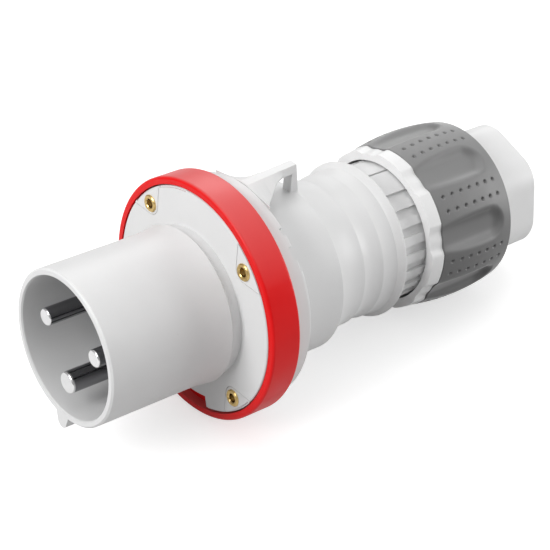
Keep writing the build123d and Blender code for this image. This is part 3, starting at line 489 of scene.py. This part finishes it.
# painted dark reflection: the pins' sides behind their bright tips are painted dark
paint_dark_reflection(pin_metal, (0.24, 0.24, 0.25), bright_end=3.0, dark_start=3.4)
brass = metal("brass", (0.70, 0.50, 0.20), 0.28)
screw_steel = metal("screw_steel", (0.50, 0.50, 0.51), 0.3)
print("metals: pin, brass, steel")

# %% Dress the frame
FINISH = {
    "shroud_housing": shroud_plastic,
    "clamp_blocks": block_plastic,
    "brass_inserts": brass,
    "flange_screws": screw_steel,
    "locking_ring": ring_plastic,
    "contact_carrier": carrier_plastic,
    "pin_retainer": carrier_plastic,
    "retainer_screws": screw_steel,
    "pin_seals": seal_rubber,
    "carrier_seal": seal_rubber,
    "earth_pin": pin_metal,
    "phase_pin_left": pin_metal,
    "phase_pin_right": pin_metal,
    "earth_terminal_screws": screw_steel,
    "phase_terminal_screws": screw_steel,
    "flange_gasket": seal_rubber,
    "handle_collar": handle_plastic,
    "handle_lug": handle_plastic,
    "handle_housing": handle_plastic,
    "handle_neck": handle_plastic,
    "handle_thread": handle_plastic,
    "clamp_cage": cage_plastic,
    "cable_seal": seal_rubber,
    "slip_ring": slip_plastic,
    "gland_nut": nut_plastic,
    "grip_sleeve": grip_rubber,
}
for node_name, material in FINISH.items():
    mesh = nodes[node_name].data
    mesh.materials.clear()
    mesh.materials.append(material)
print("dressed:", len(FINISH))

# %% [markdown]
# ## The grip
#
# The grip is soft rubber moulded over the nut: a barrel with eight lobes, a smooth finger groove between
# each pair, and two rows of pressed dimples along every lobe. The CAD solid has the barrel and the grooves
# with plain edges. Here the skin follows a rule instead. Its radius at each place is the smaller of two
# smooth surfaces, the barrel and the groove, blended where they meet, which gives the soft edges of moulded
# rubber. The grid of points is fine only where the dimples come, because points are what costs memory.
# Sizes are in millimetres and angles in degrees.

# %% Sizes of the grip
GRIP_FRONT = 184.5
GRIP_BACK = 228.8
GRIP_PEAK = (209.3, 42.0)      # place and radius where the barrel is widest
GRIP_FRONT_R = 39.7
GRIP_REAR_R = 40.4
GRIP_ROUND = 1.2
GRIP_CORE_R = 37.0             # its bore, where the nut is
LOBES = 8
LOBE_ANGLE = 94.7              # angle of the first lobe's middle
GROOVE_FLOOR_R = 38.5
GROOVE_HALF = 5.4
GROOVE_SLOPE = 1.17            # how steeply a groove's side rises
GROOVE_SOFT = 0.9              # width of the bend between its floor and its side
GROOVE_END = 214.8
EDGE_SOFT = 1.3                # bend between the groove and the barrel
DIMPLE_FIRST = 189.9
DIMPLE_STEP = 5.3
DIMPLE_COUNT = 7
DIMPLE_ROWS = 2
DIMPLE_ANGLE = 5.0             # from a lobe's middle to each of its rows
DIMPLE_R = 1.25
DIMPLE_DEPTH = 1.0
DIMPLE_FLOOR = 0.25            # share of the radius that is flat
print("dimples:", LOBES * DIMPLE_ROWS * DIMPLE_COUNT)

# %% Rule for the grip's skin


def arc_height(x, first, middle, last):
    """Height at x of the circle through three points."""
    (x1, y1), (x2, y2), (x3, y3) = first, middle, last
    twice = 2 * (x1 * (y2 - y3) + x2 * (y3 - y1) + x3 * (y1 - y2))
    sums = [px * px + py * py for px, py in (first, middle, last)]
    cx = (sums[0] * (y2 - y3) + sums[1] * (y3 - y1) + sums[2] * (y1 - y2)) / twice
    cy = (sums[0] * (x3 - x2) + sums[1] * (x1 - x3) + sums[2] * (x2 - x1)) / twice
    radius = math.hypot(x1 - cx, y1 - cy)
    return cy + math.sqrt(radius * radius - (x - cx) ** 2)


def barrel_radius(x):
    """Radius of the grip without its grooves, rounded at the rear edge."""
    bend = GRIP_BACK - GRIP_ROUND
    if x <= bend:
        return arc_height(x, (GRIP_FRONT, GRIP_FRONT_R), GRIP_PEAK, (bend, GRIP_REAR_R))
    return GRIP_REAR_R - GRIP_ROUND + math.sqrt(max(0.0, GRIP_ROUND ** 2 - (x - bend) ** 2))


def smooth_least(a, b, blend):
    """The smaller of two values, with a soft change from one to the other."""
    share = min(1.0, max(0.0, 0.5 + 0.5 * (b - a) / blend))
    return b + (a - b) * share - blend * share * (1 - share)


def grip_radius(x, angle):
    """Radius of the skin at a place along the axis and an angle in degrees."""
    pitch = 360 / LOBES
    away = (angle - LOBE_ANGLE) % pitch - pitch / 2
    turn = math.radians(away)
    sideways = GRIP_FRONT_R * math.sin(turn)
    beyond = max(0.0, x - GROOVE_END)
    reach = math.hypot(sideways, beyond) - GROOVE_HALF
    rise = GROOVE_SLOPE * GROOVE_SOFT * math.log1p(math.exp(reach / GROOVE_SOFT))
    groove = (GROOVE_FLOOR_R + rise) / math.cos(turn)
    return smooth_least(barrel_radius(x), groove, EDGE_SOFT)


for label, angle in (("on a lobe", LOBE_ANGLE), ("in a groove", LOBE_ANGLE + 180 / LOBES)):
    print("radius", label, round(grip_radius(GRIP_PEAK[0], angle), 2))

# %% Grid of the grip
ALONG = (1.55, 0.26, 0.9)      # reach of the fine grid round a dimple, its step, and the step elsewhere
AROUND = (2.2, 0.37, 1.0)      # the same in degrees
EDGE_TURNS = (15, 30, 45, 60, 75, 90)


def stops(places, reach, fine, coarse, start, end):
    """Sorted values from start to end, close together near the places given."""
    edges = [start]
    for place in places:
        edges += [place - reach, place + reach]
    edges.append(end)
    values = []
    for low, high in zip(edges, edges[1:]):
        step = fine if any(low <= place <= high for place in places) else coarse
        count = max(1, round((high - low) / step))
        values += [low + (high - low) * n / count for n in range(count)]
    return values + [end]


def grip_mesh():
    """Closed skin of the grip: a fine outer grid, two end faces and a bore."""
    along = stops([DIMPLE_FIRST + n * DIMPLE_STEP for n in range(DIMPLE_COUNT)], *ALONG,
                  GRIP_FRONT, GRIP_BACK - GRIP_ROUND)
    along += [GRIP_BACK - GRIP_ROUND * (1 - math.sin(math.radians(turn))) for turn in EDGE_TURNS]
    pitch = 360 / LOBES
    round_one = stops([-DIMPLE_ANGLE, DIMPLE_ANGLE], *AROUND, -pitch / 2, pitch / 2)[:-1]
    angles = [LOBE_ANGLE + lobe * pitch + value for lobe in range(LOBES) for value in round_one]
    rings = [(x, [grip_radius(x, angle) for angle in angles]) for x in along]
    rings.append((GRIP_BACK, [GRIP_CORE_R] * len(angles)))
    rings.append((GRIP_FRONT, [GRIP_CORE_R] * len(angles)))
    points = []
    for x, radii in rings:
        points += [(x * MM, radius * MM * math.cos(math.radians(angle)),
                    radius * MM * math.sin(math.radians(angle))) for radius, angle in zip(radii, angles)]
    across = len(angles)
    faces = []
    for ring in range(len(rings)):
        here = ring * across
        there = (ring + 1) % len(rings) * across
        for n in range(across):
            after = (n + 1) % across
            faces.append((here + n, here + after, there + after, there + n))
    mesh = bpy.data.meshes.new("grip")
    mesh.from_pydata(points, [], faces)
    return mesh


grip = bpy.data.objects.new("grip", grip_mesh())
scene.collection.objects.link(grip)
print("grip faces:", len(grip.data.polygons))

# %% [markdown]
# ## Dimples
#
# The dimples repeat, so Geometry Nodes makes them. The tree lays out one point for each dimple from its
# number alone, drops the points onto the skin with a raycast, and asks for every point of the skin how far
# the nearest dimple is. That distance, through a smooth step, pushes the skin inwards. Cutting 112 spheres
# out with a boolean would also work, but it leaves ragged edges on soft rubber.

# %% Helpers for geometry nodes


def new_geometry_tree(name, inputs):
    """A geometry tree with a geometry socket in and out, and named inputs (name, type, default)."""
    tree = bpy.data.node_groups.new(name, "GeometryNodeTree")
    tree.interface.new_socket("Geometry", in_out="INPUT", socket_type="NodeSocketGeometry")
    for label, kind, default in inputs:
        socket = tree.interface.new_socket(label, in_out="INPUT", socket_type=kind)
        if default is not None:
            socket.default_value = default
    tree.interface.new_socket("Geometry", in_out="OUTPUT", socket_type="NodeSocketGeometry")
    return tree, tree.nodes.new("NodeGroupInput").outputs, tree.nodes.new("NodeGroupOutput")


def run_tree(piece, tree, **values):
    """Apply a tree to a piece, with its inputs set by their identifiers, and keep a plain mesh."""
    modifier = piece.modifiers.new(tree.name, "NODES")
    modifier.node_group = tree
    for item in tree.interface.items_tree:
        key = item.name.replace(" ", "_")
        if item.in_out == "INPUT" and key in values:
            modifier[item.identifier] = values[key]
    graph = bpy.context.evaluated_depsgraph_get()
    mesh = bpy.data.meshes.new_from_object(piece.evaluated_get(graph))
    piece.modifiers.remove(modifier)
    piece.data = mesh
    return mesh


def link(tree, source, node, label):
    """Join an output to a node's input by name or number."""
    tree.links.new(source, node.inputs[label])


print("geometry helpers ready")

# %% Press the dimples
OUTSIDE = 0.06         # metres from the axis, past the skin, where the points start


def whole_part(tree, number, divisor):
    """How often a divisor goes into a whole number. The half keeps clear of rounding."""
    raised = math_node(tree, "ADD", number, 0.5)
    return math_node(tree, "FLOOR", math_node(tree, "DIVIDE", raised, divisor))


def dimple_tree():
    """Pushes the skin in around points laid out along and around the axis."""
    tree, given, result = new_geometry_tree("pressed_dimples", [
        ("Lobes", "NodeSocketInt", 8), ("Rows", "NodeSocketInt", 2), ("Count", "NodeSocketInt", 7),
        ("First Angle", "NodeSocketFloat", 0.0), ("Row Angle", "NodeSocketFloat", 0.17),
        ("First Place", "NodeSocketFloat", 0.19), ("Step", "NodeSocketFloat", 0.005),
        ("Radius", "NodeSocketFloat", 0.001), ("Depth", "NodeSocketFloat", 0.0008),
        ("Floor", "NodeSocketFloat", 0.25), ("Material", "NodeSocketMaterial", None)])
    per_lobe = math_node(tree, "MULTIPLY", given["Rows"], given["Count"])
    points = add(tree, "GeometryNodePoints")
    link(tree, math_node(tree, "MULTIPLY", given["Lobes"], per_lobe), points, "Count")
    index = add(tree, "GeometryNodeInputIndex").outputs[0]
    lobe = whole_part(tree, index, per_lobe)
    row = whole_part(tree, math_node(tree, "MODULO", index, per_lobe), given["Count"])
    number = math_node(tree, "MODULO", index, given["Count"])
    pitch = math_node(tree, "DIVIDE", 2 * math.pi, given["Lobes"])
    angle = math_node(tree, "MULTIPLY_ADD", lobe, pitch, given["First Angle"])
    angle = math_node(tree, "MULTIPLY_ADD", row, given["Row Angle"], angle)
    place = add(tree, "ShaderNodeCombineXYZ")
    link(tree, math_node(tree, "MULTIPLY_ADD", number, given["Step"], given["First Place"]), place, "X")
    for operation, axis in (("COSINE", "Y"), ("SINE", "Z")):
        link(tree, math_node(tree, "MULTIPLY", math_node(tree, operation, angle), OUTSIDE), place, axis)
    link(tree, place.outputs[0], points, "Position")

    inwards = add(tree, "ShaderNodeVectorMath", operation="MULTIPLY")
    link(tree, add(tree, "GeometryNodeInputPosition").outputs[0], inwards, 0)
    inwards.inputs[1].default_value = (0, -1, -1)
    ray = add(tree, "GeometryNodeRaycast")
    link(tree, given["Geometry"], ray, "Target Geometry")
    link(tree, inwards.outputs[0], ray, "Ray Direction")
    ray.inputs["Ray Length"].default_value = 2 * OUTSIDE
    landed = add(tree, "GeometryNodeSetPosition")
    link(tree, points.outputs[0], landed, "Geometry")
    link(tree, ray.outputs["Hit Position"], landed, "Position")

    nearest = add(tree, "GeometryNodeProximity", target_element="POINTS")
    link(tree, landed.outputs[0], nearest, "Geometry")
    share = math_node(tree, "DIVIDE", nearest.outputs["Distance"], given["Radius"])
    bottom = math_node(tree, "MULTIPLY", given["Depth"], -1.0)
    cup = ranged(tree, share, given["Floor"], 1.0, bottom, 0.0, "SMOOTHSTEP")
    push = add(tree, "ShaderNodeVectorMath", operation="SCALE")
    link(tree, add(tree, "GeometryNodeInputNormal").outputs[0], push, 0)
    link(tree, cup, push, "Scale")
    moved = add(tree, "GeometryNodeSetPosition")
    link(tree, given["Geometry"], moved, "Geometry")
    link(tree, push.outputs[0], moved, "Offset")
    smooth = add(tree, "GeometryNodeSetShadeSmooth")
    link(tree, moved.outputs[0], smooth, "Geometry")
    real = add(tree, "GeometryNodeRealizeInstances")
    link(tree, smooth.outputs[0], real, "Geometry")
    painted = add(tree, "GeometryNodeSetMaterial")
    link(tree, real.outputs[0], painted, "Geometry")
    link(tree, given["Material"], painted, "Material")
    link(tree, painted.outputs[0], result, "Geometry")
    return tree


run_tree(grip, dimple_tree(), Lobes=LOBES, Rows=DIMPLE_ROWS, Count=DIMPLE_COUNT,
         First_Angle=math.radians(LOBE_ANGLE - DIMPLE_ANGLE), Row_Angle=math.radians(2 * DIMPLE_ANGLE),
         First_Place=DIMPLE_FIRST * MM, Step=DIMPLE_STEP * MM, Radius=DIMPLE_R * MM,
         Depth=DIMPLE_DEPTH * MM, Floor=DIMPLE_FLOOR, Material=grip_rubber)
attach(grip, "nut")
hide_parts("grip_sleeve")
print("grip triangles:", sum(len(face.vertices) - 2 for face in grip.data.polygons))
